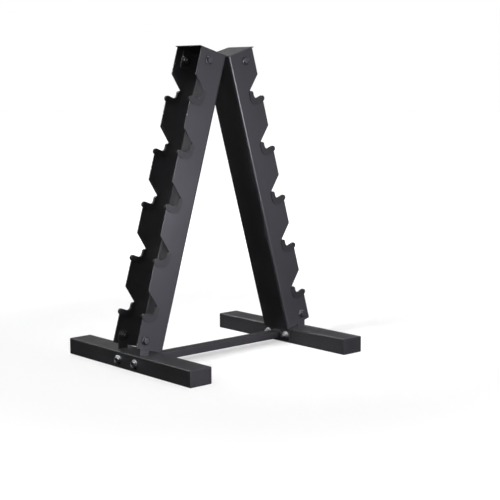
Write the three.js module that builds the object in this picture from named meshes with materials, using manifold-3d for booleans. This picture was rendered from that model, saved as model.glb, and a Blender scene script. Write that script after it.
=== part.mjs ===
// Dumbbell rack: a free-standing A-frame. Two notched channel columns lean together under a folded
// bridge plate. Each column stands on a foot tube, and a crossbar joins the two feet.
//
// Millimetres, +Z up. The origin is on the floor at the middle of the rack. X runs across the frame
// from column to column. Y runs along the foot tubes, the way the dumbbell handles lie, and the
// front of the rack is at -Y.
//
// A column is drawn upright in its own frame, then leaned. There the middle of its web's outer face,
// at the top end, is the origin, +Z runs up the column and the flanges reach out along -X.

import * as THREE from 'three';
import { mergeVertices } from 'three/addons/utils/BufferGeometryUtils.js';
import Module from 'manifold-3d';

// ---- Driving dimensions ----------------------------------------------------------------------

const SHEET = 3; // thickness of the columns and the foot tabs
const FIT_GAP = 0.3; // clearance between neighbouring pieces
const CUT_MARGIN = 10; // how far a cutting solid runs past what it cuts

// Columns
const LEAN = THREE.MathUtils.degToRad(16.25);
const CHANNEL_WIDTH = 100; // over the outer faces of the flanges
const CHANNEL_DEPTH = 86.6; // from the web's outer face to the free edge of a flange
const CHANNEL_BEND = 7; // outer radius of the two bends
const COLUMN_LENGTH = 778.5;
const COLUMN_TOP = 787.8; // height above the floor of the top end, on the web's outer face
const APEX_GAP = 5.4; // between the two webs at the top

// Notches, one in each flange at each level
const LEVELS = 5;
const FIRST_NOTCH = 103.4; // from the top of the column down to the first notch's inner corner
const NOTCH_PITCH = 140.4;
const NOTCH_DEPTH = 37.2; // from the free edge in to the back wall
const MOUTH_DROP = 32.6; // height of the slanted cut, from the free edge to the inner corner
const CRADLE_DROP = 31; // from the inner corner down to the cradle's lowest line
const CRADLE_RADIUS = 17.2;
const LIP_RISE = 1.5; // the lip above the lowest line, measured along the column
const LIP_RADIUS = 2.9;

// Notch liners: a moulded saddle that clips over the cradle edge of a notch
const LINER_CHEEK = 1.5; // thickness of each side plate
const LINER_HEEL = 7.2; // thickness against the back wall
const LINER_SEAT = 4.6; // thickness under the handle and round the lip
const LINER_SEAT_RADIUS = 10;
const LINER_NOSE_RADIUS = 7; // round upper end
const LINER_NOSE_DROP = 3; // from the inner corner down to the top of the liner
const LINER_BACK_REACH = 6.4; // how far the side plates reach past the back wall
const LINER_LOWER_REACH = 13; // how far they reach below the cradle's lowest line
const LINER_HEEL_CORNER = 22; // radius of their lower back corner
const LINER_TOE_REACH = 10; // from the free edge in to where their lower edge starts
const LINER_TOP_CORNER = 3; // radius of their upper back corner

// Top bridge: a V plate over both columns, with four ears inside the flanges
const BRIDGE_SHEET = 2;
const BRIDGE_OVERHANG = 6; // past the free edges of the flanges
const EAR_DROP = 49;
const EAR_START = 10; // from the web's outer face to the near edge of an ear
const EAR_END = 66.8; // from the web's outer face to the far edge
const EAR_CORNER = 8;
const TOP_BOLT_DEPTH = 55; // of the bolt's axis from the web's outer face
const TOP_BOLT_DROP = 25; // of the bolt's axis below the column's top end

// Feet
const FOOT_WIDTH = 68;
const FOOT_HEIGHT = 43;
const FOOT_LENGTH = 508; // over the end caps
const FOOT_WALL = 2;
const FOOT_CORNER = 3;
const FOOT_CENTRE = 265; // from the middle of the rack out to the middle of the foot
const CAP_RIM = 2;
const CAP_PLUG = 12; // how far an end cap reaches into the tube
const CAP_WALL = 1.5; // of the plug, which is hollow

// Foot tabs: upright plates on the foot, inside the flanges, with a round top about the bolt
const TAB_WIDTH = 28;
const TAB_CENTRE = 275.5; // from the middle of the rack out to the bolt's axis
const TAB_BOLT_HEIGHT = 80.5; // of the bolt's axis above the floor

// Crossbar between the feet, with a bolted plate at each end
const CROSSBAR_WIDTH = 30;
const CROSSBAR_HEIGHT = 20;
const CROSSBAR_WALL = 1.5;
const CROSSBAR_CORNER = 2.5;
const CROSSBAR_AXIS = 21; // height of its middle above the floor
const END_PLATE_THICKNESS = 4;
const END_PLATE_WIDTH = 100;
const END_PLATE_HEIGHT = 38;
const END_PLATE_CORNER = 4;
const CROSSBAR_BOLT_REACH = 35; // of the bolts to either side of the crossbar's middle

// M10 hexagon flange bolts and nuts
const BOLT_RADIUS = 5;
const HOLE_RADIUS = 5.5;
const HEX_RADIUS = 9.2; // to the corners
const HEAD_HEIGHT = 7;
const NUT_HEIGHT = 8.5;
const COLLAR_RADIUS = 12;
const COLLAR_EDGE = 1.4; // height of the collar at its rim
const COLLAR_HEIGHT = 3; // height where the collar meets the hexagon
const THREAD_PROTRUSION = 3; // of the bolt's end past its nut

// The least radius of a tube's inner corner, for a wall that is thicker than its outer corner's radius
const LEAST_CORNER = 0.5;

// Facets: ExtrudeGeometry splits each arc into twice this many chords
const ARC_STEPS = 3;
const ROUND_SIDES = 12;

// ---- Values worked out from them -------------------------------------------------------------

const HALF_WIDTH = CHANNEL_WIDTH / 2;
const FLANGE_MIDDLE = HALF_WIDTH - SHEET / 2;
const FLANGE_INSIDE = HALF_WIDTH - SHEET;
const EAR_OUTSIDE = FLANGE_INSIDE - FIT_GAP; // outer face of every ear and tab, from the mid-plane
const FREE_EDGE = -CHANNEL_DEPTH;
const BACK_WALL = NOTCH_DEPTH - CHANNEL_DEPTH;
const FOOT_INSIDE = FOOT_CENTRE - FOOT_WIDTH / 2;
const FOOT_OUTSIDE = FOOT_CENTRE + FOOT_WIDTH / 2;
const TUBE_HALF_LENGTH = FOOT_LENGTH / 2 - CAP_RIM - FIT_GAP;
const END_PLATE_FACE = FOOT_INSIDE - FIT_GAP - END_PLATE_THICKNESS; // where the crossbar meets it
const QUARTER = Math.PI / 2;

// ---- Materials -------------------------------------------------------------------------------

function makeMaterial(color, roughness, metalness) {
  return () => new THREE.MeshStandardMaterial({ color, roughness, metalness });
}

const powderCoat = makeMaterial(0x2c2c2f, 0.5, 0.2);
const linerPlastic = makeMaterial(0x1b1b1d, 0.6, 0);
const capPlastic = makeMaterial(0x18181a, 0.55, 0);
const blackFastener = makeMaterial(0x202022, 0.4, 0.7);
const zincFastener = makeMaterial(0xb9bbbe, 0.28, 1);

// ---- Solids ----------------------------------------------------------------------------------

const wasm = await Module();
wasm.setup();

function toSolid(geometry) {
  const bare = geometry.clone();
  bare.deleteAttribute('normal');
  bare.deleteAttribute('uv');
  const merged = mergeVertices(bare);
  return new wasm.Manifold(new wasm.Mesh({
    numProp: 3,
    vertProperties: new Float32Array(merged.attributes.position.array),
    triVerts: new Uint32Array(merged.index.array),
  }));
}

function toGeometry(solid) {
  const mesh = solid.getMesh();
  const geometry = new THREE.BufferGeometry();
  geometry.setAttribute('position', new THREE.BufferAttribute(mesh.vertProperties, 3));
  geometry.setIndex(new THREE.BufferAttribute(mesh.triVerts, 1));
  geometry.computeVertexNormals();
  return geometry;
}

// Extrudes a shape drawn in X and Y upwards, from bottom to top.
function extrudeUp(shape, bottom, top) {
  const options = { depth: top - bottom, bevelEnabled: false, curveSegments: ARC_STEPS };
  return new THREE.ExtrudeGeometry(shape, options).translate(0, 0, bottom);
}

// Extrudes a shape drawn in X and Z (the shape's own x and y) along Y, from near to far.
function extrudeAlongY(shape, near, far) {
  return extrudeUp(shape, -far, -near).rotateX(QUARTER);
}

// Extrudes a shape drawn in Y and Z (the shape's own x and y) along X, from near to far.
function extrudeAlongX(shape, near, far) {
  return extrudeUp(shape, near, far).rotateX(QUARTER).rotateZ(QUARTER);
}

function roundRod(radius, bottom, top, sides = ROUND_SIDES) {
  const height = top - bottom;
  const rod = new THREE.CylinderGeometry(radius, radius, height, sides);
  return rod.rotateX(QUARTER).translate(0, 0, bottom + height / 2);
}

function roundedRectangle(width, height, radius) {
  const x = width / 2 - radius;
  const y = height / 2 - radius;
  const shape = new THREE.Shape();
  shape.absarc(x, y, radius, 0, QUARTER, false);
  shape.absarc(-x, y, radius, QUARTER, 2 * QUARTER, false);
  shape.absarc(-x, -y, radius, 2 * QUARTER, 3 * QUARTER, false);
  shape.absarc(x, -y, radius, 3 * QUARTER, 4 * QUARTER, false);
  shape.closePath();
  return shape;
}

function tubeSection(width, height, corner, wall) {
  const section = roundedRectangle(width, height, corner);
  const innerCorner = Math.max(corner - wall, LEAST_CORNER);
  section.holes.push(roundedRectangle(width - 2 * wall, height - 2 * wall, innerCorner));
  return section;
}

// ---- Placing ---------------------------------------------------------------------------------

// The column's own frame, as it stands on the left side of the rack.
const leftLean = new THREE.Matrix4()
  .makeRotationY(LEAN)
  .setPosition(-APEX_GAP / 2, 0, COLUMN_TOP);

// The bolts' axes: the top one in the column's own frame, and the bottom one in the rack's frame.
const topBolt = new THREE.Vector3(-TOP_BOLT_DEPTH, 0, -TOP_BOLT_DROP);
const bottomBolt = new THREE.Vector3(-TAB_CENTRE, 0, TAB_BOLT_HEIGHT);

function namedMesh(name, geometry, material) {
  const mesh = new THREE.Mesh(geometry, material());
  mesh.name = name;
  return mesh;
}

// ---- Column ----------------------------------------------------------------------------------

function channelSection() {
  const inner = CHANNEL_BEND - SHEET;
  const bendX = -CHANNEL_BEND;
  const bendY = HALF_WIDTH - CHANNEL_BEND;
  const section = new THREE.Shape();
  section.moveTo(FREE_EDGE, -FLANGE_INSIDE);
  section.lineTo(FREE_EDGE, -HALF_WIDTH);
  section.absarc(bendX, -bendY, CHANNEL_BEND, -QUARTER, 0, false);
  section.absarc(bendX, bendY, CHANNEL_BEND, 0, QUARTER, false);
  section.lineTo(FREE_EDGE, HALF_WIDTH);
  section.lineTo(FREE_EDGE, FLANGE_INSIDE);
  section.absarc(bendX, bendY, inner, QUARTER, 0, true);
  section.absarc(bendX, -bendY, inner, 0, -QUARTER, true);
  section.closePath();
  return section;
}

// Draws the steel edge of a cradle, from the back wall round to the free edge. The notch's inner
// corner is at height 0, and gap moves the edge out of the steel.
function drawCradleEdge(shape, gap) {
  const seatX = BACK_WALL - CRADLE_RADIUS;
  const seatZ = CRADLE_RADIUS - CRADLE_DROP;
  const lipX = FREE_EDGE + LIP_RADIUS;
  const lipZ = LIP_RISE - CRADLE_DROP - LIP_RADIUS;
  shape.absarc(seatX, seatZ, CRADLE_RADIUS - gap, 0, -QUARTER, true);
  shape.absarc(lipX, lipZ, LIP_RADIUS + gap, QUARTER, 2 * QUARTER, false);
}

function notchShape() {
  const mouthSlope = MOUTH_DROP / NOTCH_DEPTH;
  const shape = new THREE.Shape();
  shape.moveTo(FREE_EDGE - CUT_MARGIN, MOUTH_DROP + CUT_MARGIN * mouthSlope);
  shape.lineTo(BACK_WALL, 0);
  drawCradleEdge(shape, 0);
  shape.lineTo(FREE_EDGE - CUT_MARGIN, LIP_RISE - CRADLE_DROP - LIP_RADIUS);
  shape.closePath();
  return shape;
}

function boltHoleAcross(point) {
  const reach = HALF_WIDTH + CUT_MARGIN;
  return roundRod(HOLE_RADIUS, -reach, reach).rotateX(QUARTER).translate(point.x, 0, point.z);
}

function notchHeight(level) {
  return -FIRST_NOTCH - level * NOTCH_PITCH;
}

function makeColumnGeometry() {
  let column = toSolid(extrudeUp(channelSection(), -COLUMN_LENGTH, 0));
  const notch = extrudeAlongY(notchShape(), -CUT_MARGIN, CUT_MARGIN);
  for (let level = 0; level < LEVELS; level += 1) {
    for (const flange of [-FLANGE_MIDDLE, FLANGE_MIDDLE]) {
      column = column.subtract(toSolid(notch.clone().translate(0, flange, notchHeight(level))));
    }
  }
  const bottomBoltHere = bottomBolt.clone().applyMatrix4(leftLean.clone().invert());
  for (const bolt of [topBolt, bottomBoltHere]) {
    column = column.subtract(toSolid(boltHoleAcross(bolt)));
  }
  return toGeometry(column);
}

// ---- Notch liner -----------------------------------------------------------------------------

// The liner's side view: the seat that the handle lies on, the bead round the lip, and the outline
// of the side plates.
function linerShape() {
  const wallX = BACK_WALL - LINER_HEEL;
  const seatZ = LINER_SEAT - CRADLE_DROP;
  const beadX = FREE_EDGE + LIP_RADIUS;
  const beadZ = LIP_RISE - CRADLE_DROP - LIP_RADIUS;
  const beadRadius = LIP_RADIUS + LINER_SEAT;
  const beadEnd = Math.PI + Math.acos(LIP_RADIUS / beadRadius); // back at the free edge
  const lowerZ = -CRADLE_DROP - LINER_LOWER_REACH;
  const backX = BACK_WALL + LINER_BACK_REACH;
  const noseZ = -LINER_NOSE_DROP;

  const shape = new THREE.Shape();
  shape.absarc(wallX + LINER_NOSE_RADIUS, noseZ - LINER_NOSE_RADIUS, LINER_NOSE_RADIUS,
    QUARTER, 2 * QUARTER, false);
  shape.absarc(wallX - LINER_SEAT_RADIUS, seatZ + LINER_SEAT_RADIUS, LINER_SEAT_RADIUS,
    0, -QUARTER, true);
  shape.absarc(beadX, beadZ, beadRadius, QUARTER, beadEnd, false);
  shape.lineTo(FREE_EDGE + LINER_TOE_REACH, lowerZ);
  shape.absarc(backX - LINER_HEEL_CORNER, lowerZ + LINER_HEEL_CORNER, LINER_HEEL_CORNER,
    -QUARTER, 0, false);
  shape.absarc(backX - LINER_TOP_CORNER, noseZ - LINER_TOP_CORNER, LINER_TOP_CORNER,
    0, QUARTER, false);
  shape.closePath();
  return shape;
}

// The slot in the liner that takes the flange: everything on the steel's side of the cradle edge.
function linerSlotShape() {
  const below = -CRADLE_DROP - LINER_LOWER_REACH - CUT_MARGIN;
  const behind = BACK_WALL + LINER_BACK_REACH + CUT_MARGIN;
  const shape = new THREE.Shape();
  shape.moveTo(behind, CUT_MARGIN);
  shape.lineTo(BACK_WALL - FIT_GAP, CUT_MARGIN);
  drawCradleEdge(shape, FIT_GAP);
  shape.lineTo(FREE_EDGE - FIT_GAP, below);
  shape.lineTo(behind, below);
  shape.closePath();
  return shape;
}

function makeLinerGeometry() {
  const slot = SHEET / 2 + FIT_GAP;
  const half = slot + LINER_CHEEK;
  const block = toSolid(extrudeAlongY(linerShape(), -half, half));
  return toGeometry(block.subtract(toSolid(extrudeAlongY(linerSlotShape(), -slot, slot))));
}

// ---- Top bridge ------------------------------------------------------------------------------

// Where the lean line at this height above the columns' top ends meets the rack's mid-plane, and
// where it ends past the free edge. Both are for the left side.
function bridgeLine(height) {
  const outer = new THREE.Vector3(FREE_EDGE - BRIDGE_OVERHANG, 0, height).applyMatrix4(leftLean);
  const fold = new THREE.Vector2(0, outer.z + outer.x * Math.tan(LEAN));
  return { outer: new THREE.Vector2(outer.x, outer.z), fold };
}

function bridgePlateShape() {
  const under = bridgeLine(FIT_GAP);
  const over = bridgeLine(FIT_GAP + BRIDGE_SHEET);
  const shape = new THREE.Shape();
  shape.moveTo(under.outer.x, under.outer.y);
  shape.lineTo(under.fold.x, under.fold.y);
  shape.lineTo(-under.outer.x, under.outer.y);
  shape.lineTo(-over.outer.x, over.outer.y);
  shape.lineTo(over.fold.x, over.fold.y);
  shape.lineTo(over.outer.x, over.outer.y);
  shape.closePath();
  return shape;
}

function earShape() {
  const top = FIT_GAP + BRIDGE_SHEET / 2; // inside the plate, so that the two join
  const shape = new THREE.Shape();
  shape.moveTo(-EAR_START, top);
  shape.lineTo(-EAR_END, top);
  shape.absarc(EAR_CORNER - EAR_END, EAR_CORNER - EAR_DROP, EAR_CORNER, 2 * QUARTER, 3 * QUARTER, false);
  shape.absarc(-EAR_START - EAR_CORNER, EAR_CORNER - EAR_DROP, EAR_CORNER, 3 * QUARTER, 4 * QUARTER, false);
  shape.closePath();
  return shape;
}

function makeBridgeGeometry() {
  let bridge = toSolid(extrudeAlongY(bridgePlateShape(), -HALF_WIDTH, HALF_WIDTH));
  for (const turn of [0, Math.PI]) {
    for (const near of [-EAR_OUTSIDE, EAR_OUTSIDE - BRIDGE_SHEET]) {
      const ear = toSolid(extrudeAlongY(earShape(), near, near + BRIDGE_SHEET));
      const drilled = toGeometry(ear.subtract(toSolid(boltHoleAcross(topBolt))));
      bridge = bridge.add(toSolid(drilled.applyMatrix4(leftLean).rotateZ(turn)));
    }
  }
  return toGeometry(bridge);
}

// ---- Feet ------------------------------------------------------------------------------------

function holesAlongX(near, far, offsets, height) {
  const rods = offsets.map((offset) => (
    toSolid(roundRod(HOLE_RADIUS, near, far).rotateY(QUARTER).translate(0, offset, height))
  ));
  return rods.reduce((joined, rod) => joined.add(rod));
}

const crossbarBoltOffsets = [-CROSSBAR_BOLT_REACH, CROSSBAR_BOLT_REACH];

function makeFootGeometry() {
  const section = tubeSection(FOOT_WIDTH, FOOT_HEIGHT, FOOT_CORNER, FOOT_WALL);
  const tube = extrudeAlongY(section, -TUBE_HALF_LENGTH, TUBE_HALF_LENGTH);
  const reach = FOOT_WIDTH / 2 + CUT_MARGIN;
  const holes = holesAlongX(-reach, reach, crossbarBoltOffsets, CROSSBAR_AXIS - FOOT_HEIGHT / 2);
  return toGeometry(toSolid(tube).subtract(holes));
}

// An end cap for the tube's +Y end, with the rim's inner face at the tube's end.
function makeCapGeometry() {
  const inset = 2 * (FOOT_WALL + FIT_GAP);
  const plugCorner = FOOT_CORNER - FOOT_WALL;
  const plugSection = tubeSection(FOOT_WIDTH - inset, FOOT_HEIGHT - inset, plugCorner, CAP_WALL);
  const rimSection = roundedRectangle(FOOT_WIDTH, FOOT_HEIGHT, FOOT_CORNER);
  const rim = toSolid(extrudeAlongY(rimSection, 0, CAP_RIM));
  return toGeometry(rim.add(toSolid(extrudeAlongY(plugSection, -CAP_PLUG, CAP_RIM / 2))));
}

// An upright tab, drawn about its own mid-plane with its bolt at X = 0.
function makeTabGeometry() {
  const half = TAB_WIDTH / 2;
  const foot = FOOT_HEIGHT + FIT_GAP;
  const outline = new THREE.Shape();
  outline.moveTo(-half, foot);
  outline.lineTo(half, foot);
  outline.absarc(0, TAB_BOLT_HEIGHT, half, 0, 2 * QUARTER, false);
  outline.closePath();
  const plate = toSolid(extrudeAlongY(outline, -SHEET / 2, SHEET / 2));
  const hole = toSolid(boltHoleAcross(new THREE.Vector3(0, 0, TAB_BOLT_HEIGHT)));
  return toGeometry(plate.subtract(hole));
}

// ---- Crossbar --------------------------------------------------------------------------------

function makeCrossbarGeometry() {
  const section = tubeSection(CROSSBAR_WIDTH, CROSSBAR_HEIGHT, CROSSBAR_CORNER, CROSSBAR_WALL);
  const reach = END_PLATE_FACE - FIT_GAP;
  return extrudeAlongX(section, -reach, reach);
}

function makeEndPlateGeometry() {
  const outline = roundedRectangle(END_PLATE_WIDTH, END_PLATE_HEIGHT, END_PLATE_CORNER);
  const half = END_PLATE_THICKNESS / 2;
  const plate = toSolid(extrudeAlongX(outline, -half, half));
  return toGeometry(plate.subtract(holesAlongX(-CUT_MARGIN, CUT_MARGIN, crossbarBoltOffsets, 0)));
}

// ---- Fasteners -------------------------------------------------------------------------------

// A hexagon on a coned collar. Its bearing face is at height 0 and its top is at height.
function hexWithCollar(height) {
  const profile = [
    new THREE.Vector2(0, 0),
    new THREE.Vector2(COLLAR_RADIUS, 0),
    new THREE.Vector2(COLLAR_RADIUS, COLLAR_EDGE),
    new THREE.Vector2(HEX_RADIUS * Math.cos(Math.PI / 6), COLLAR_HEIGHT),
    new THREE.Vector2(0, COLLAR_HEIGHT),
  ];
  const collar = new THREE.LatheGeometry(profile, ROUND_SIDES).rotateX(QUARTER);
  const hexagon = roundRod(HEX_RADIUS, COLLAR_EDGE, height, 6);
  return toSolid(collar).add(toSolid(hexagon));
}

// A bolt whose head points up and whose shank reaches down through a grip of this thickness.
function makeBoltGeometry(grip) {
  const length = grip + NUT_HEIGHT + THREAD_PROTRUSION;
  const shank = roundRod(BOLT_RADIUS, -length, COLLAR_EDGE);
  return toGeometry(hexWithCollar(HEAD_HEIGHT).add(toSolid(shank)));
}

function makeNutGeometry() {
  const bore = roundRod(BOLT_RADIUS + FIT_GAP, -CUT_MARGIN, NUT_HEIGHT + CUT_MARGIN);
  return toGeometry(hexWithCollar(NUT_HEIGHT).subtract(toSolid(bore)));
}

// What each bolt holds between head and nut, with a gap at every joint.
const topGrip = SHEET + BRIDGE_SHEET + 3 * FIT_GAP;
const bottomGrip = 2 * SHEET + 3 * FIT_GAP;
const crossbarGrip = FOOT_WIDTH + END_PLATE_THICKNESS + 3 * FIT_GAP;

const topBoltGeometry = makeBoltGeometry(topGrip);
const bottomBoltGeometry = makeBoltGeometry(bottomGrip);
const crossbarBoltGeometry = makeBoltGeometry(crossbarGrip);
const nutGeometry = makeNutGeometry();

// A bolt and nut through a flange and the plate behind it. outward is -1 or 1, the way the head
// points along Y, and names is a name for the bolt and one for the nut.
function addFlangeFastener(parent, point, outward, geometry, plate, names) {
  const bolt = namedMesh(names.bolt, geometry, blackFastener);
  bolt.position.set(point.x, outward * (HALF_WIDTH + FIT_GAP), point.z);
  bolt.rotation.x = -outward * QUARTER;
  const nut = namedMesh(names.nut, nutGeometry, blackFastener);
  nut.position.set(point.x, outward * (EAR_OUTSIDE - plate - FIT_GAP), point.z);
  nut.rotation.x = outward * QUARTER;
  parent.add(bolt, nut);
}

function addCrossbarFastener(parent, offset, names) {
  const bolt = namedMesh(names.bolt, crossbarBoltGeometry, zincFastener);
  bolt.position.set(-FOOT_OUTSIDE - FIT_GAP, offset, CROSSBAR_AXIS);
  bolt.rotation.y = -QUARTER;
  const nut = namedMesh(names.nut, nutGeometry, zincFastener);
  nut.position.set(-END_PLATE_FACE + FIT_GAP, offset, CROSSBAR_AXIS);
  nut.rotation.y = QUARTER;
  parent.add(bolt, nut);
}

// ---- Assembly --------------------------------------------------------------------------------

const columnGeometry = makeColumnGeometry();
const linerGeometry = makeLinerGeometry();
const footGeometry = makeFootGeometry();
const capGeometry = makeCapGeometry();
const tabGeometry = makeTabGeometry();
const endPlateGeometry = makeEndPlateGeometry();

// One column with its liners and top bolts, in the column's own frame. faces pairs each flange's
// direction along Y with its name.
function makeColumn(side, faces) {
  const column = new THREE.Group();
  column.add(namedMesh(`${side}_column`, columnGeometry, powderCoat));
  for (const { outward, face } of faces) {
    for (let level = 0; level < LEVELS; level += 1) {
      const liner = namedMesh(`${side}_${face}_liner_${level + 1}`, linerGeometry, linerPlastic);
      liner.position.set(0, outward * FLANGE_MIDDLE, notchHeight(level));
      column.add(liner);
    }
    addFlangeFastener(column, topBolt, outward, topBoltGeometry, BRIDGE_SHEET, {
      bolt: `${side}_${face}_top_bolt`,
      nut: `${side}_${face}_top_nut`,
    });
  }
  column.applyMatrix4(leftLean);
  return column;
}

// One foot with its caps, tabs, end plate and bolts, drawn on the left of the rack.
function makeFoot(side, faces) {
  const foot = new THREE.Group();
  const tube = namedMesh(`${side}_foot_tube`, footGeometry, powderCoat);
  tube.position.set(-FOOT_CENTRE, 0, FOOT_HEIGHT / 2);
  const endPlate = namedMesh(`${side}_crossbar_end_plate`, endPlateGeometry, powderCoat);
  endPlate.position.set(-END_PLATE_FACE - END_PLATE_THICKNESS / 2, 0, CROSSBAR_AXIS);
  foot.add(tube, endPlate);

  for (const { outward, face } of faces) {
    const cap = namedMesh(`${side}_${face}_foot_cap`, capGeometry, capPlastic);
    cap.position.set(-FOOT_CENTRE, outward * (TUBE_HALF_LENGTH + FIT_GAP), FOOT_HEIGHT / 2);
    cap.rotation.z = outward > 0 ? 0 : Math.PI;
    const tab = namedMesh(`${side}_${face}_foot_tab`, tabGeometry, powderCoat);
    tab.position.set(-TAB_CENTRE, outward * (EAR_OUTSIDE - SHEET / 2), 0);
    foot.add(cap, tab);
    addFlangeFastener(foot, bottomBolt, outward, bottomBoltGeometry, SHEET, {
      bolt: `${side}_${face}_bottom_bolt`,
      nut: `${side}_${face}_bottom_nut`,
    });
    addCrossbarFastener(foot, outward * CROSSBAR_BOLT_REACH, {
      bolt: `${side}_${face}_crossbar_bolt`,
      nut: `${side}_${face}_crossbar_nut`,
    });
  }
  return foot;
}

// The right side is the left side turned half round, which swaps its front and back flanges.
function makeSide(side) {
  const turned = side === 'right';
  const faces = [
    { outward: -1, face: turned ? 'back' : 'front' },
    { outward: 1, face: turned ? 'front' : 'back' },
  ];
  const group = new THREE.Group();
  group.add(makeColumn(side, faces), makeFoot(side, faces));
  group.rotation.z = turned ? Math.PI : 0;
  return group;
}

const group = new THREE.Group();
group.add(makeSide('left'), makeSide('right'));
group.add(namedMesh('top_bridge', makeBridgeGeometry(), powderCoat));
const crossbar = namedMesh('crossbar', makeCrossbarGeometry(), powderCoat);
crossbar.position.z = CROSSBAR_AXIS;
group.add(crossbar);

export default group;
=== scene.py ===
"""Dumbbell rack: finishes for the steel frame, finely shaped liners, caps, fasteners and welds, and the
studio."""
import math

import bmesh
import bpy
from mathutils import Matrix, Vector


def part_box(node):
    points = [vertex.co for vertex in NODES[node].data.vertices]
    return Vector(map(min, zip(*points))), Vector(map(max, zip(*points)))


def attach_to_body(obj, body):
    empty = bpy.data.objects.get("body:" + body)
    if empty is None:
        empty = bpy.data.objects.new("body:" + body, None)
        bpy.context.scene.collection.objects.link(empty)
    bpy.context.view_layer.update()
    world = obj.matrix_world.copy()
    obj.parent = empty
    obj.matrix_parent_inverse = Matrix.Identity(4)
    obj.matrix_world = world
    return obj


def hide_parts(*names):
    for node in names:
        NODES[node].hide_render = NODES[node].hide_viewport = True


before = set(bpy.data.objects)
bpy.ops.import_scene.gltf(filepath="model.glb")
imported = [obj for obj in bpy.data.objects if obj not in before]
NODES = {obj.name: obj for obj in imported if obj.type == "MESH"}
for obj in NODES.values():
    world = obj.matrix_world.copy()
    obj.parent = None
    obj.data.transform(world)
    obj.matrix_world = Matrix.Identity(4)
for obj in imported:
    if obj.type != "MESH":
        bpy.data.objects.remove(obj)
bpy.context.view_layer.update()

# ---- Names and sizes -------------------------------------------------------------------------
# Lengths in this script are metres. MM turns a size given in millimetres into metres.

MM = 0.001
BODY = "root"
SIDES = ("left", "right")
FACES = ("front", "back")
LEVELS = range(1, 6)
TURN_OF_SIDE = {"left": 0.0, "right": math.pi}  # the right side is the left side turned about Z
OUTWARD_OF_SIDE = {"left": -1, "right": 1}  # along X
OUTWARD_OF_FACE = {"front": -1, "back": 1}  # along Y

# Sheets, and where the pieces lie against each other
FLANGE_SHEET = 3 * MM
FIT_GAP = 0.3 * MM
STEEL_EDGE_ROUND = 0.5 * MM
JOIN_DISTANCE = 0.001 * MM  # within which vertices of the steel are one
FLAT_ANGLE = 1.0  # degrees below which neighbouring facets are one face

# Notch liner, drawn in the column's own upright frame: X is negative outwards from the web, and
# Z is measured from the inner corner of the notch
FREE_EDGE = -86.6 * MM
BACK_WALL = -49.4 * MM
CRADLE_DROP = 31 * MM
CRADLE_RADIUS = 17.2 * MM
LIP_RISE = 1.5 * MM
LIP_RADIUS = 2.9 * MM
LINER_CHEEK = 1.5 * MM
LINER_HEEL = 7.2 * MM
LINER_SEAT = 4.6 * MM
LINER_SEAT_RADIUS = 10 * MM
LINER_NOSE_RADIUS = 7 * MM
LINER_NOSE_DROP = 3 * MM
LINER_BACK_REACH = 6.4 * MM
LINER_LOWER_REACH = 13 * MM
LINER_HEEL_CORNER = 22 * MM
LINER_TOE_REACH = 10 * MM
LINER_TOP_CORNER = 3 * MM
LINER_EDGE_ROUND = 0.65 * MM

# M10 flange bolts and nuts
AROUND = 72  # points round a fastener: a multiple of 6, so that the hexagon's corners fall on points
HEX_APOTHEM = 7.97 * MM
HEAD_HEIGHT = 7 * MM
NUT_HEIGHT = 8.5 * MM
COLLAR_RADIUS = 12 * MM
COLLAR_EDGE = 1.4 * MM
COLLAR_TOP = 3 * MM
SHANK_RADIUS = 5 * MM
NUT_BORE = 5.15 * MM
THREAD_PITCH = 1.5 * MM
THREAD_DEPTH = 0.7 * MM
THREAD_LENGTH = 7.5 * MM  # of the thread that is cut on the visible end of a bolt
RINGS_PER_PITCH = 6
TWIST_STEP = 7  # degrees
FASTENER_CREASE = 32  # degrees

# Foot end caps
FOOT_CORNER = 3 * MM
FOOT_WALL = 2 * MM
CAP_RIM = 2 * MM
CAP_PLUG = 12 * MM
CAP_PLUG_WALL = 1.5 * MM
CAP_HOLLOW_END = -1 * MM  # where the plug's hollow stops, short of the rim's inner face
CAP_LEAST_CORNER = 0.5 * MM
CAP_RIB = 0.25 * MM  # how far the plug's ribs stand out
CAP_RIB_PLACES = (9 * MM, 6 * MM, 3 * MM)  # behind the rim
CAP_ROUNDING = 1.2 * MM  # of the rim's outer edge
CAP_ROUNDING_STEPS = 6
CAP_PANEL_INSET = 5 * MM
CAP_PANEL_DEPTH = 0.5 * MM
CAP_CREASE = 35  # degrees

# Welds
WELD_SIZE = 2.6 * MM
WELD_RIPPLE = 2.4 * MM  # from one ripple of a bead to the next
WELD_SWELL = 0.1  # share of its size by which a ripple stands out
WELD_LEAD = 0.6 * MM  # by which a ripple's middle is ahead of its sides
WELD_END_SHARE = 0.45  # of the full size, at the very end of a bead
WELD_END_GROWTH = 0.5  # share gained in a length of one bead's size
WELD_STEPS = 6  # in a ripple
WELD_POINTS = 8  # across a bead
WELD_CREASE = 60  # degrees
TAB_WELD_INSET = 1.5 * MM
CROSSBAR_WELD_INSET = 2.5 * MM

# Finishes. The colours are base colours in linear light.
COAT_DARK = (0.022, 0.022, 0.0245)
COAT_LIGHT = (0.030, 0.030, 0.0335)
# lighter colour on edges: partly wear of the coat, partly a painted highlight
COAT_WEAR_AND_HIGHLIGHT = (0.12, 0.12, 0.125)
LINER_COLOUR = (0.011, 0.011, 0.012)
CAP_COLOUR = (0.012, 0.012, 0.013)
BLACK_STEEL_COLOUR = (0.09, 0.09, 0.095)
ZINC_COLOUR = (0.72, 0.73, 0.75)
EDGE_WEAR_AND_HIGHLIGHT = 0.8 * MM  # how far from an edge the powder coat is lighter: rubbed thin, and a painted highlight
FLAT_MATCH = 0.995  # cosine from the true normal to the rounded one, on a flat face
EDGE_MATCH = 0.90  # and on an edge
NOISE_LOW = 0.3  # most values of a noise lie between these two
NOISE_HIGH = 0.7

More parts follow.
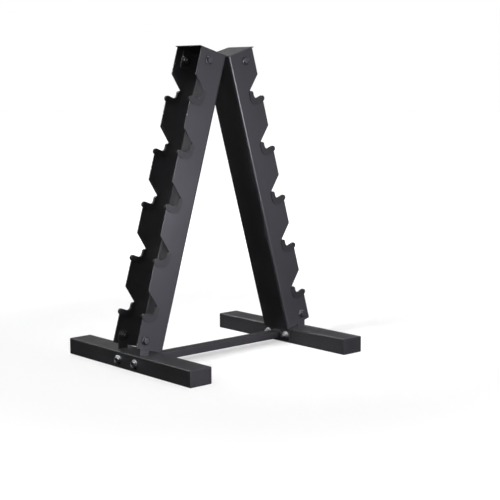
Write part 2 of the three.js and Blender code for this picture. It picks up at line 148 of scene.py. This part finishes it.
# Floor. Its albedo and glows are shares of a full white.
FLOOR_RADIUS = 30.0
FLOOR_POINTS = 96
FLOOR_ALBEDO = 0.42
FLOOR_GLOW = 0.50
FLOOR_FAR_GLOW = 1.05
FLOOR_GLOW_START = 0.6  # distances from the middle between which the glow rises
FLOOR_GLOW_END = 2.2

# Sky, by the height of a direction from -1 straight down to 1 straight up
SKY_START = -0.1
SKY_FULL = 0.6
SKY_LEVEL = 0.15

COOL_WHITE = (0.90, 0.875, 1.0)

# Camera: it stands in front of the left foot and looks down slightly
CAMERA_PLACE = Vector((-2.05875, -2.41014, 0.71163))
CAMERA_TURN = math.radians(-42.159)
CAMERA_DIP = math.radians(7.767)
SENSOR_WIDTH = 36.0
CAMERA_LENS = 86.31


# ---- Mesh helpers ----------------------------------------------------------------------------

def arc(centre, radius, start, end, steps):
    """Points of an arc in a plane, from one angle in degrees to another."""
    points = []
    for step in range(steps + 1):
        angle = math.radians(start + (end - start) * step / steps)
        points.append((centre[0] + radius * math.cos(angle), centre[1] + radius * math.sin(angle)))
    return points


def ring_about_z(height, radius_at, count=AROUND):
    """A level ring of points about Z, with radius_at giving the radius at each angle."""
    points = []
    for i in range(count):
        angle = 2 * math.pi * i / count
        radius = radius_at(angle)
        points.append((radius * math.cos(angle), radius * math.sin(angle), height))
    return points


def circle(radius, height, count=AROUND):
    return ring_about_z(height, lambda angle: radius, count)


def mesh_from_rings(name, rings, closed):
    """Joins rings of equal length by quads. A closed mesh joins its last ring to its first, and an open
    one has its two end rings capped."""
    count = len(rings[0])
    bm = bmesh.new()
    rows = [[bm.verts.new(point) for point in ring] for ring in rings]
    pairs = list(zip(rows, rows[1:]))
    if closed:
        pairs.append((rows[-1], rows[0]))
    for low, high in pairs:
        for i in range(count):
            j = (i + 1) % count
            bm.faces.new((low[i], low[j], high[j], high[i]))
    if not closed:
        bm.faces.new(reversed(rows[0]))
        bm.faces.new(rows[-1])
    bmesh.ops.recalc_face_normals(bm, faces=bm.faces)
    mesh = bpy.data.meshes.new(name)
    bm.to_mesh(mesh)
    bm.free()
    return mesh


def prism(name, outline, near, far):
    """A solid with this outline in X and Z, reaching from near to far along Y."""
    return mesh_from_rings(name, [[(x, y, z) for x, z in outline] for y in (near, far)], closed=False)


def add_object(name, mesh):
    piece = bpy.data.objects.new(name, mesh)
    bpy.context.scene.collection.objects.link(piece)
    return piece


def apply_modifiers(piece):
    """Replaces the piece's mesh by what its modifiers make of it."""
    graph = bpy.context.evaluated_depsgraph_get()
    made = bpy.data.meshes.new_from_object(piece.evaluated_get(graph))
    piece.modifiers.clear()
    piece.data = made


def smooth(piece, crease):
    """Shades the piece smooth, but keeps edges at least as sharp as this angle in degrees."""
    piece.data.polygons.foreach_set("use_smooth", [True] * len(piece.data.polygons))
    bm = bmesh.new()
    bm.from_mesh(piece.data)
    for edge in bm.edges:
        edge.smooth = len(edge.link_faces) == 2 and edge.calc_face_angle(0.0) < math.radians(crease)
    bm.to_mesh(piece.data)
    bm.free()


def round_edges(piece, width, segments=2, angle=30, clamp=False):
    """Adds a small rounding to every edge sharper than this angle, and shades by weighted normals. Clamping
    keeps neighbouring roundings from running into each other, and narrows them all to do so."""
    bevel = piece.modifiers.new("rounded edges", "BEVEL")
    bevel.width = width
    bevel.segments = segments
    bevel.limit_method = "ANGLE"
    bevel.angle_limit = math.radians(angle)
    bevel.use_clamp_overlap = clamp
    normals = piece.modifiers.new("even shading", "WEIGHTED_NORMAL")
    normals.keep_sharp = True
    normals.weight = 80


def corner_centre(low, high):
    return (low + high) / 2


def node_centre(node):
    return corner_centre(*(Vector(corner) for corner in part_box(node)))


def place_on_node(piece, node, turn):
    """Turns the piece, then moves it so that the middle of its box is the middle of the CAD node's box."""
    corners = [turn @ vertex.co for vertex in piece.data.vertices]
    low = Vector(min(c[i] for c in corners) for i in range(3))
    high = Vector(max(c[i] for c in corners) for i in range(3))
    shift = node_centre(node) - corner_centre(low, high)
    piece.data.transform(Matrix.Translation(shift) @ turn.to_4x4())


def attach(piece, material, slot, *replaced):
    """Gives the piece its material and ties it to the frame."""
    piece.data.materials.clear()
    piece.data.materials.append(material)
    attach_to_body(piece, BODY)
    if replaced:
        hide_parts(*replaced)


# ---- Materials -------------------------------------------------------------------------------

class Nodes:
    """A small wrapper that adds and links the nodes of one material."""

    def __init__(self, name):
        self.material = bpy.data.materials.new(name)
        self.material.use_nodes = True
        self.tree = self.material.node_tree
        self.shader = self.tree.nodes["Principled BSDF"]
        self.place = self.add("ShaderNodeTexCoord").outputs["Object"]

    def add(self, kind, **values):
        node = self.tree.nodes.new(kind)
        for key, value in values.items():
            setattr(node, key, value)
        return node

    def link(self, source, target):
        self.tree.links.new(source, target)

    def noise(self, size, detail=3.0, roughness=0.5):
        """Noise whose largest features are about this size in metres."""
        node = self.add("ShaderNodeTexNoise")
        node.inputs["Scale"].default_value = 1 / size
        node.inputs["Detail"].default_value = detail
        node.inputs["Roughness"].default_value = roughness
        self.link(self.place, node.inputs["Vector"])
        return node.outputs["Fac"]

    def grit(self, size):
        """Small rounded cells of about this size in metres."""
        node = self.add("ShaderNodeTexVoronoi", feature="SMOOTH_F1")
        node.inputs["Scale"].default_value = 1 / size
        self.link(self.place, node.inputs["Vector"])
        return node.outputs["Distance"]

    def spread(self, value, low, high):
        """Maps the range that most of a noise lies in onto the range low to high."""
        node = self.add("ShaderNodeMapRange")
        node.inputs["From Min"].default_value = NOISE_LOW
        node.inputs["From Max"].default_value = NOISE_HIGH
        node.inputs["To Min"].default_value = low
        node.inputs["To Max"].default_value = high
        self.link(value, node.inputs["Value"])
        return node.outputs["Result"]

    def blend(self, factor, low, high):
        """A colour between two colours."""
        node = self.add("ShaderNodeMix", data_type="RGBA")
        node.inputs["A"].default_value = (*low, 1)
        node.inputs["B"].default_value = (*high, 1)
        self.link(factor, node.inputs["Factor"])
        return node.outputs["Result"]

    def edges(self, radius):
        """A mask that rises from 0 on flat faces to 1 on edges tighter than this radius in metres."""
        rounded = self.add("ShaderNodeBevel", samples=6)
        rounded.inputs["Radius"].default_value = radius
        alike = self.add("ShaderNodeVectorMath", operation="DOT_PRODUCT")
        self.link(rounded.outputs["Normal"], alike.inputs[0])
        self.link(self.add("ShaderNodeNewGeometry").outputs["True Normal"], alike.inputs[1])
        mask = self.add("ShaderNodeMapRange")
        mask.inputs["From Min"].default_value = FLAT_MATCH
        mask.inputs["From Max"].default_value = EDGE_MATCH
        self.link(alike.outputs["Value"], mask.inputs["Value"])
        return mask.outputs["Result"]

    def blend_to(self, factor, socket, high):
        """A colour between a socket's colour and a fixed one."""
        node = self.add("ShaderNodeMix", data_type="RGBA")
        self.link(socket, node.inputs["A"])
        node.inputs["B"].default_value = (*high, 1)
        self.link(factor, node.inputs["Factor"])
        return node.outputs["Result"]

    def total(self, first, second, weight):
        """first plus second times weight."""
        node = self.add("ShaderNodeMath", operation="MULTIPLY_ADD")
        node.inputs[1].default_value = weight
        self.link(second, node.inputs[0])
        self.link(first, node.inputs[2])
        return node.outputs[0]

    def bump(self, height, depth, strength):
        """Bump of this depth in metres."""
        node = self.add("ShaderNodeBump")
        node.inputs["Strength"].default_value = strength
        node.inputs["Distance"].default_value = depth
        self.link(height, node.inputs["Height"])
        self.link(node.outputs["Normal"], self.shader.inputs["Normal"])

    def colour(self, socket):
        self.link(socket, self.shader.inputs["Base Color"])

    def roughness(self, socket):
        self.link(socket, self.shader.inputs["Roughness"])


def make_powder_coat():
    """Satin black powder coat: orange peel, fine grit, slow changes of gloss and tone, and edges lighter in
    colour, partly wear and partly a painted highlight.
    """
    nodes = Nodes("powder_coat")
    peel = nodes.noise(2.2 * MM, detail=2.0)
    grit = nodes.grit(0.7 * MM)
    cloud = nodes.noise(90 * MM, detail=4.0)
    coat = nodes.blend(cloud, COAT_DARK, COAT_LIGHT)
    # lighter colour near edges: partly worn coat, partly a painted highlight
    nodes.colour(nodes.blend_to(nodes.edges(EDGE_WEAR_AND_HIGHLIGHT), coat, COAT_WEAR_AND_HIGHLIGHT))
    nodes.roughness(nodes.spread(nodes.total(cloud, grit, 0.12), 0.44, 0.54))
    nodes.shader.inputs["Coat Weight"].default_value = 0.6
    nodes.shader.inputs["Coat Roughness"].default_value = 0.2
    nodes.bump(nodes.total(peel, grit, 0.45), 0.12 * MM, 0.35)
    return nodes.material


def make_moulded_plastic(name, colour, roughness):
    """Black moulded plastic with the fine grain of a spark-eroded mould."""
    nodes = Nodes(name)
    grain = nodes.noise(0.6 * MM, detail=4.0, roughness=0.6)
    cloud = nodes.noise(25 * MM)
    lighter = tuple(channel * 1.45 for channel in colour)
    nodes.colour(nodes.blend(cloud, colour, lighter))
    nodes.roughness(nodes.spread(nodes.total(cloud, grain, 0.2), roughness - 0.05, roughness + 0.08))
    nodes.bump(grain, 0.08 * MM, 0.4)
    return nodes.material


def make_plated_steel(name, colour, metallic, roughness):
    """Plated or blackened steel: cloudy tone, fine turning marks and a slightly uneven gloss."""
    nodes = Nodes(name)
    cloud = nodes.noise(6 * MM, detail=5.0)
    marks = nodes.noise(0.35 * MM, detail=2.0)
    darker = tuple(channel * 0.72 for channel in colour)
    nodes.colour(nodes.blend(cloud, darker, colour))
    nodes.shader.inputs["Metallic"].default_value = metallic
    nodes.roughness(nodes.spread(nodes.total(cloud, marks, 0.3), roughness - 0.06, roughness + 0.12))
    nodes.bump(marks, 0.03 * MM, 0.25)
    return nodes.material


# ---- Steel frame -----------------------------------------------------------------------------

def finish_steel_nodes(material):
    """The folded and welded steel keeps its CAD shape. Welding its vertices and dissolving the flat
    facets first lets the rounding run cleanly along every edge."""
    names = ["top_bridge", "crossbar"]
    for side in SIDES:
        names += [f"{side}_column", f"{side}_foot_tube", f"{side}_crossbar_end_plate"]
        names += [f"{side}_{face}_foot_tab" for face in FACES]
    for name in names:
        piece = NODES[name]
        piece.data.materials.clear()
        piece.data.materials.append(material)
        piece.data.polygons.foreach_set("use_smooth", [True] * len(piece.data.polygons))
        weld = piece.modifiers.new("joined vertices", "WELD")
        weld.merge_threshold = JOIN_DISTANCE
        flat = piece.modifiers.new("whole faces", "DECIMATE")
        flat.decimate_type = "DISSOLVE"
        flat.angle_limit = math.radians(FLAT_ANGLE)
        round_edges(piece, STEEL_EDGE_ROUND)


# ---- Notch liners ----------------------------------------------------------------------------

def liner_outline():
    """The liner's side view: nose, back of the seat, seat, bead round the lip, and side plates."""
    wall_x = BACK_WALL - LINER_HEEL
    seat_z = LINER_SEAT - CRADLE_DROP
    bead_x = FREE_EDGE + LIP_RADIUS
    bead_z = LIP_RISE - CRADLE_DROP - LIP_RADIUS
    bead_radius = LIP_RADIUS + LINER_SEAT
    bead_end = 180 + math.degrees(math.acos(LIP_RADIUS / bead_radius))
    lower_z = -CRADLE_DROP - LINER_LOWER_REACH
    back_x = BACK_WALL + LINER_BACK_REACH
    nose = (wall_x + LINER_NOSE_RADIUS, -LINER_NOSE_DROP - LINER_NOSE_RADIUS)
    seat = (wall_x - LINER_SEAT_RADIUS, seat_z + LINER_SEAT_RADIUS)
    heel = (back_x - LINER_HEEL_CORNER, lower_z + LINER_HEEL_CORNER)
    top = (back_x - LINER_TOP_CORNER, -LINER_NOSE_DROP - LINER_TOP_CORNER)
    return (
        arc(nose, LINER_NOSE_RADIUS, 90, 180, 9)
        + arc(seat, LINER_SEAT_RADIUS, 0, -90, 10)
        + arc((bead_x, bead_z), bead_radius, 90, bead_end, 16)
        + [(FREE_EDGE + LINER_TOE_REACH, lower_z)]
        + arc(heel, LINER_HEEL_CORNER, -90, 0, 12)
        + arc(top, LINER_TOP_CORNER, 0, 90, 6)
    )


def slot_outline():
    """The steel's side of the cradle edge, which the slot in the liner clears."""
    far = 20 * MM
    seat = (BACK_WALL - CRADLE_RADIUS, CRADLE_RADIUS - CRADLE_DROP)
    lip = (FREE_EDGE + LIP_RADIUS, LIP_RISE - CRADLE_DROP - LIP_RADIUS)
    behind = BACK_WALL + far
    below = -CRADLE_DROP - far
    return (
        [(behind, far), (BACK_WALL - FIT_GAP, far)]
        + arc(seat, CRADLE_RADIUS - FIT_GAP, 0, -90, 10)
        + arc(lip, LIP_RADIUS + FIT_GAP, 90, 180, 6)
        + [(FREE_EDGE - FIT_GAP, below), (behind, below)]
    )


def make_liner_mesh():
    slot = FLANGE_SHEET / 2 + FIT_GAP
    half = slot + LINER_CHEEK
    liner = add_object("liner_pattern", prism("liner_pattern", liner_outline(), -half, half))
    cutter = add_object("liner_cutter", prism("liner_cutter", slot_outline(), -slot, slot))
    cut = liner.modifiers.new("slot", "BOOLEAN")
    cut.object = cutter
    cut.solver = "EXACT"
    apply_modifiers(liner)
    round_edges(liner, LINER_EDGE_ROUND, segments=3, angle=40, clamp=True)
    apply_modifiers(liner)
    mesh = liner.data
    for helper in (liner, cutter):
        bpy.data.objects.remove(helper)
    return mesh


def column_lean():
    """The lean of the left column, from the line through its first and last liners."""
    first = node_centre("left_front_liner_1")
    last = node_centre(f"left_front_liner_{LEVELS[-1]}")
    return math.atan2(first.x - last.x, first.z - last.z)


def side_turn(side, lean):
    return Matrix.Rotation(TURN_OF_SIDE[side], 3, "Z") @ Matrix.Rotation(lean, 3, "Y")


def make_liners(material):
    pattern = make_liner_mesh()
    lean = column_lean()
    for side in SIDES:
        for face in FACES:
            for level in LEVELS:
                node = f"{side}_{face}_liner_{level}"
                liner = add_object(f"{node}_moulded", pattern.copy())
                place_on_node(liner, node, side_turn(side, lean))
                attach(liner, material, "liner_plastic", node)


# ---- Bolts and nuts --------------------------------------------------------------------------

def hex_ring(height, least=0.0, most=math.inf):
    """A ring round the hexagon at this height, kept between two radii, as a collar or a chamfer does."""
    def radius_at(angle):
        from_flat = (angle + math.pi / 6) % (math.pi / 3) - math.pi / 6
        return min(max(HEX_APOTHEM / math.cos(from_flat), least), most)

    return ring_about_z(height, radius_at)


def collar_rings():
    """The rounded rim of the collar and its cone up into the hexagon, from the bearing face up."""
    soft = 0.4 * MM
    rings = [
        circle(COLLAR_RADIUS - soft, 0),
        circle(COLLAR_RADIUS, soft),
        circle(COLLAR_RADIUS, COLLAR_EDGE - soft),
        circle(COLLAR_RADIUS - soft, COLLAR_EDGE),
    ]
    steps = 6
    for step in range(1, steps + 1):
        height = COLLAR_EDGE + (COLLAR_TOP - COLLAR_EDGE) * step / steps
        cone = COLLAR_RADIUS - soft - (COLLAR_RADIUS - HEX_APOTHEM) * step / steps
        rings.append(hex_ring(height, least=cone))
    return rings


def chamfer_rings(height):
    """The hexagon's chamfered top, whose cone cuts the corners in curves."""
    crown = HEX_APOTHEM * 0.95
    slope = math.tan(math.radians(60))
    depth = 1.0 * MM
    steps = 5
    rings = []
    for step in range(steps + 1):
        below = depth * (1 - step / steps)
        rings.append(hex_ring(height - below, most=crown + below * slope))
    return rings


def thread_ring(height, offset):
    """A ring of the thread: its radius falls and rises once a pitch, and once round."""
    def radius_at(angle):
        phase = (offset / THREAD_PITCH + angle / (2 * math.pi)) % 1
        return SHANK_RADIUS - THREAD_DEPTH * abs(2 * phase - 1)

    return ring_about_z(height, radius_at)


def make_bolt_mesh(length):
    """A bolt whose head points up from its bearing face at height 0."""
    tip = 0.8 * MM
    tip_radius = SHANK_RADIUS - 1.2 * MM
    rings = [circle(tip_radius, -length)]
    steps = round(THREAD_LENGTH / THREAD_PITCH * RINGS_PER_PITCH)
    for step in range(steps + 1):
        offset = THREAD_LENGTH * step / steps
        rings.append(thread_ring(tip + offset - length, offset))
    rings += [circle(SHANK_RADIUS, tip + THREAD_LENGTH + tip - length), circle(SHANK_RADIUS, 0)]
    rings += collar_rings()
    rings += chamfer_rings(HEAD_HEIGHT)
    dish = 0.35 * MM
    rim = HEX_APOTHEM * 0.82
    rings += [circle(rim, HEAD_HEIGHT), circle(rim - dish, HEAD_HEIGHT - dish)]
    return mesh_from_rings("bolt", rings, closed=False)


def make_nut_mesh():
    """A nut that stands on its bearing face at height 0."""
    lead = 0.7 * MM
    rings = [circle(NUT_BORE + lead, 0)]
    rings += collar_rings()
    rings += chamfer_rings(NUT_HEIGHT)
    rings += [
        circle(NUT_BORE + lead, NUT_HEIGHT),
        circle(NUT_BORE, NUT_HEIGHT - lead),
        circle(NUT_BORE, lead),
    ]
    return mesh_from_rings("nut", rings, closed=True)


def outward_turn(direction, twist):
    """Points a fastener's +Z along direction, after a twist about its own axis."""
    return direction.to_track_quat("Z", "Y").to_matrix() @ Matrix.Rotation(twist, 3, "Z")


def list_fasteners(black, zinc):
    """The stem of each fastener's name, the way its head points, its material and its slot."""
    fasteners = []
    for side in SIDES:
        across = Vector((OUTWARD_OF_SIDE[side], 0, 0))
        for face in FACES:
            outward = Vector((0, OUTWARD_OF_FACE[face], 0))
            for place in ("top", "bottom"):
                fasteners.append((f"{side}_{face}_{place}", outward, black, "black_steel"))
            fasteners.append((f"{side}_{face}_crossbar", across, zinc, "zinc_steel"))
    return fasteners


def make_fasteners(black, zinc):
    """Each bolt and its nut. The twists are shuffled, so that no two neighbours stand alike."""
    nut_pattern = make_nut_mesh()
    for index, (stem, direction, material, slot) in enumerate(list_fasteners(black, zinc)):
        low, high = (Vector(corner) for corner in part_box(f"{stem}_bolt"))
        length = abs((high - low).dot(direction)) - HEAD_HEIGHT
        twist = math.radians(TWIST_STEP * (index * 5 % 9))
        bolt = add_object(f"{stem}_bolt_made", make_bolt_mesh(length))
        nut = add_object(f"{stem}_nut_made", nut_pattern.copy())
        place_on_node(bolt, f"{stem}_bolt", outward_turn(direction, twist))
        place_on_node(nut, f"{stem}_nut", outward_turn(-direction, twist))
        for piece, node in ((bolt, f"{stem}_bolt"), (nut, f"{stem}_nut")):
            smooth(piece, FASTENER_CREASE)
            attach(piece, material, slot, node)


# ---- Foot end caps ---------------------------------------------------------------------------

def rounded_ring(width, height, corner, y):
    """A rounded rectangle about the Y axis. Every ring has the same number of points."""
    x = width / 2 - corner
    z = height / 2 - corner
    corners = (((x, z), 0), ((-x, z), 90), ((-x, -z), 180), ((x, -z), 270))
    points = []
    for centre, start in corners:
        points += arc(centre, corner, start, start + 90, 8)
    return [(px, y, pz) for px, pz in points]


def make_cap_mesh(width, height):
    """A cap for a tube end that faces +Y, with the rim's inner face at Y = 0."""
    def ring(inset, y):
        corner = max(FOOT_CORNER - inset, CAP_LEAST_CORNER)
        return rounded_ring(width - 2 * inset, height - 2 * inset, corner, y)

    plug = FOOT_WALL + FIT_GAP
    inside = plug + CAP_PLUG_WALL
    low = plug + CAP_RIB
    rings = [ring(inside, CAP_HOLLOW_END), ring(inside, -CAP_PLUG), ring(low, -CAP_PLUG)]
    for place in CAP_RIB_PLACES:
        rings += [ring(low, -place - CAP_RIB), ring(plug, -place), ring(low, -place + 2 * CAP_RIB)]
    rings += [ring(low, 0), ring(0, 0)]
    for step in range(CAP_ROUNDING_STEPS + 1):
        angle = math.radians(90 * step / CAP_ROUNDING_STEPS)
        inset = CAP_ROUNDING * (1 - math.cos(angle))
        rings.append(ring(inset, CAP_RIM - CAP_ROUNDING * (1 - math.sin(angle))))
    rings.append(ring(CAP_PANEL_INSET, CAP_RIM))
    rings.append(ring(CAP_PANEL_INSET + CAP_PANEL_DEPTH, CAP_RIM - CAP_PANEL_DEPTH))
    return mesh_from_rings("foot_cap", rings, closed=False)


def make_caps(material):
    for side in SIDES:
        for face in FACES:
            node = f"{side}_{face}_foot_cap"
            low, high = (Vector(corner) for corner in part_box(node))
            cap = add_object(f"{node}_moulded", make_cap_mesh(high.x - low.x, high.z - low.z))
            turn = Matrix.Rotation(0 if face == "back" else math.pi, 3, "Z")
            place_on_node(cap, node, turn)
            smooth(cap, CAP_CREASE)
            attach(cap, material, "cap_plastic", node)


# ---- Welds -----------------------------------------------------------------------------------

def make_weld(name, start, end, up, out, material):
    """A rippled fillet weld along a corner, between a face whose normal is out and one whose normal is up."""
    along = (end - start).normalized()
    length = (end - start).length
    ripples = max(2, round(length / WELD_RIPPLE))
    steps = ripples * WELD_STEPS
    rings = []
    for step in range(steps + 1):
        place = step / steps
        ripple = (place * ripples) % 1
        from_end = min(place, 1 - place) * length
        share = min(1.0, WELD_END_SHARE + from_end / WELD_SIZE * WELD_END_GROWTH)
        ring = [start + along * (length * place)]
        for i in range(WELD_POINTS + 1):
            angle = math.pi / 2 * i / WELD_POINTS
            bulge = math.sin(2 * angle)
            size = WELD_SIZE * share * (1 + WELD_SWELL * math.sin(math.pi * ripple) * bulge)
            lead = along * (WELD_LEAD * bulge)
            ring.append(ring[0] + out * (size * math.cos(angle)) + up * (size * math.sin(angle)) + lead)
        rings.append(ring)
    bead = add_object(name, mesh_from_rings(name, rings, closed=False))
    smooth(bead, WELD_CREASE)
    attach(bead, material, "powder_coat")


def make_tab_welds(material):
    """Beads along both faces of each foot tab, where it stands on the foot tube."""
    up = Vector((0, 0, 1))
    for side in SIDES:
        foot_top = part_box(f"{side}_foot_tube")[1][2]
        for face in FACES:
            low, high = (Vector(corner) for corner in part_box(f"{side}_{face}_foot_tab"))
            for label, y, way in (("inner", low.y, -1), ("outer", high.y, 1)):
                start = Vector((low.x + TAB_WELD_INSET, y, foot_top))
                end = Vector((high.x - TAB_WELD_INSET, y, foot_top))
                name = f"{side}_{face}_tab_weld_{label}"
                make_weld(name, start, end, up, Vector((0, way, 0)), material)


def make_crossbar_welds(material):
    """Beads along the four sides of the crossbar, where it meets each end plate."""
    low, high = (Vector(corner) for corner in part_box("crossbar"))
    inset = CROSSBAR_WELD_INSET
    for side in SIDES:
        plate_low, plate_high = (Vector(corner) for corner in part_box(f"{side}_crossbar_end_plate"))
        x = plate_high.x if side == "left" else plate_low.x
        out = Vector((-OUTWARD_OF_SIDE[side], 0, 0))
        edges = {
            "top": ((low.y + inset, high.z), (high.y - inset, high.z), (0, 0, 1)),
            "bottom": ((low.y + inset, low.z), (high.y - inset, low.z), (0, 0, -1)),
            "front": ((low.y, low.z + inset), (low.y, high.z - inset), (0, -1, 0)),
            "back": ((high.y, low.z + inset), (high.y, high.z - inset), (0, 1, 0)),
        }
        for label, (begin, finish, normal) in edges.items():
            name = f"{side}_crossbar_weld_{label}"
            make_weld(name, Vector((x, *begin)), Vector((x, *finish)), out, Vector(normal), material)


# ---- Studio ----------------------------------------------------------------------------------

def make_floor():
    """A wide pale floor, which glows more with distance. It takes shadows, throws no light back up at the
    rack, and isn't mirrored in it."""
    bm = bmesh.new()
    bm.faces.new([bm.verts.new(point) for point in circle(FLOOR_RADIUS, 0, FLOOR_POINTS)])
    mesh = bpy.data.meshes.new("floor")
    bm.to_mesh(mesh)
    bm.free()
    floor = add_object("floor", mesh)

    material = bpy.data.materials.new("floor")
    material.use_nodes = True
    tree = material.node_tree
    tree.nodes.remove(tree.nodes["Principled BSDF"])
    matte = tree.nodes.new("ShaderNodeBsdfDiffuse")
    matte.inputs["Color"].default_value = (FLOOR_ALBEDO, FLOOR_ALBEDO, FLOOR_ALBEDO, 1)
    place = tree.nodes.new("ShaderNodeTexCoord")
    distance = tree.nodes.new("ShaderNodeVectorMath")
    distance.operation = "LENGTH"
    tree.links.new(place.outputs["Object"], distance.inputs[0])
    glow = tree.nodes.new("ShaderNodeMapRange")
    glow.interpolation_type = "SMOOTHSTEP"
    glow.inputs["From Min"].default_value = FLOOR_GLOW_START
    glow.inputs["From Max"].default_value = FLOOR_GLOW_END
    glow.inputs["To Min"].default_value = FLOOR_GLOW
    glow.inputs["To Max"].default_value = FLOOR_FAR_GLOW
    tree.links.new(distance.outputs["Value"], glow.inputs["Value"])
    lift = tree.nodes.new("ShaderNodeEmission")
    tree.links.new(glow.outputs["Result"], lift.inputs["Strength"])
    both = tree.nodes.new("ShaderNodeAddShader")
    tree.links.new(matte.outputs[0], both.inputs[0])
    tree.links.new(lift.outputs[0], both.inputs[1])
    tree.links.new(both.outputs[0], tree.nodes["Material Output"].inputs["Surface"])
    mesh.materials.append(material)
    floor.visible_diffuse = False
    floor.visible_glossy = False


def make_sky():
    """White to the camera. What lights the rack is a dim sky, brightest overhead and black below."""
    world = bpy.data.worlds.new("studio")
    bpy.context.scene.world = world
    world.use_nodes = True
    tree = world.node_tree
    seen = tree.nodes["Background"]
    seen.inputs["Color"].default_value = (1, 1, 1, 1)
    lighting = tree.nodes.new("ShaderNodeBackground")
    direction = tree.nodes.new("ShaderNodeTexCoord")
    split = tree.nodes.new("ShaderNodeSeparateXYZ")
    tree.links.new(direction.outputs["Generated"], split.inputs[0])
    ramp = tree.nodes.new("ShaderNodeMapRange")
    ramp.interpolation_type = "SMOOTHSTEP"
    ramp.inputs["From Min"].default_value = SKY_START
    ramp.inputs["From Max"].default_value = SKY_FULL
    ramp.inputs["To Min"].default_value = 0.0
    ramp.inputs["To Max"].default_value = SKY_LEVEL
    tree.links.new(split.outputs["Z"], ramp.inputs["Value"])
    tree.links.new(ramp.outputs["Result"], lighting.inputs["Color"])
    chooser = tree.nodes.new("ShaderNodeMixShader")
    path = tree.nodes.new("ShaderNodeLightPath")
    tree.links.new(path.outputs["Is Camera Ray"], chooser.inputs[0])
    tree.links.new(lighting.outputs[0], chooser.inputs[1])
    tree.links.new(seen.outputs[0], chooser.inputs[2])
    tree.links.new(chooser.outputs[0], tree.nodes["World Output"].inputs["Surface"])


def add_softbox(name, place, target, width, height, radiance, colour=(1, 1, 1), spread=180):
    """A rectangular light. Its power follows from its radiance, so that size and brightness are apart."""
    light = bpy.data.lights.new(name, "AREA")
    light.shape = "RECTANGLE"
    light.size = width
    light.size_y = height
    light.energy = math.pi * width * height * radiance
    light.color = colour
    light.spread = math.radians(spread)
    lamp = bpy.data.objects.new(name, light)
    lamp.location = place
    lamp.rotation_euler = (Vector(target) - Vector(place)).to_track_quat("-Z", "Y").to_euler()
    bpy.context.scene.collection.objects.link(lamp)


def make_lights():
    """A low cool light in front and a weaker one behind, strong ones beside the camera and high on the
    left, a strip behind on the left for the edges, a gridded light high on the left for the insides of the
    channels, and weaker ones above, high behind and on the right."""
    middle = (0, 0, 0.4)
    low = (0, 0, 0.2)
    add_softbox("front_softbox", (0.5, -2.4, 0.3), low, 1.5, 0.56, 17, colour=COOL_WHITE)
    add_softbox("edge_strip", (-1.95, 2.2, 1.25), middle, 0.16, 1.0, 11)
    add_softbox("camera_softbox", (-2.9, -2.75, 1.35), middle, 0.9, 0.6, 12)
    add_softbox("left_softbox", (-2.87, 0, 2.41), middle, 1.6, 1.2, 6.8)
    add_softbox("left_grid", (-2.3, 0, 3.38), (-0.15, 0, 0.62), 0.8, 0.5, 1.5, spread=14)
    add_softbox("top_softbox", (0, 0, 3.6), middle, 3.0, 3.0, 2.7)
    add_softbox("back_softbox", (0.4, 2.9, 2.8), middle, 2.2, 0.8, 4.0)
    add_softbox("low_back_softbox", (0.15, 2.4, 0.3), low, 1.2, 0.56, 3)
    add_softbox("right_softbox", (3.8, 0, 1.6), middle, 2.5, 1.5, 2.0)


def make_camera():
    data = bpy.data.cameras.new("camera")
    data.sensor_width = SENSOR_WIDTH
    data.lens = CAMERA_LENS
    data.clip_start = 0.05
    data.clip_end = 200
    camera = bpy.data.objects.new("camera", data)
    camera.location = CAMERA_PLACE
    camera.rotation_euler = (math.pi / 2 - CAMERA_DIP, 0, CAMERA_TURN)
    bpy.context.scene.collection.objects.link(camera)
    bpy.context.scene.camera = camera


# ---- Assembly --------------------------------------------------------------------------------

make_camera()
powder_coat = make_powder_coat()
finish_steel_nodes(powder_coat)
make_liners(make_moulded_plastic("liner_plastic", LINER_COLOUR, roughness=0.42))
make_caps(make_moulded_plastic("cap_plastic", CAP_COLOUR, roughness=0.45))
make_fasteners(
    make_plated_steel("black_steel", BLACK_STEEL_COLOUR, metallic=0.8, roughness=0.34),
    make_plated_steel("zinc_steel", ZINC_COLOUR, metallic=1.0, roughness=0.22),
)
make_tab_welds(powder_coat)
make_crossbar_welds(powder_coat)
make_floor()
make_sky()
make_lights()
bpy.context.scene.view_settings.view_transform = "Standard"
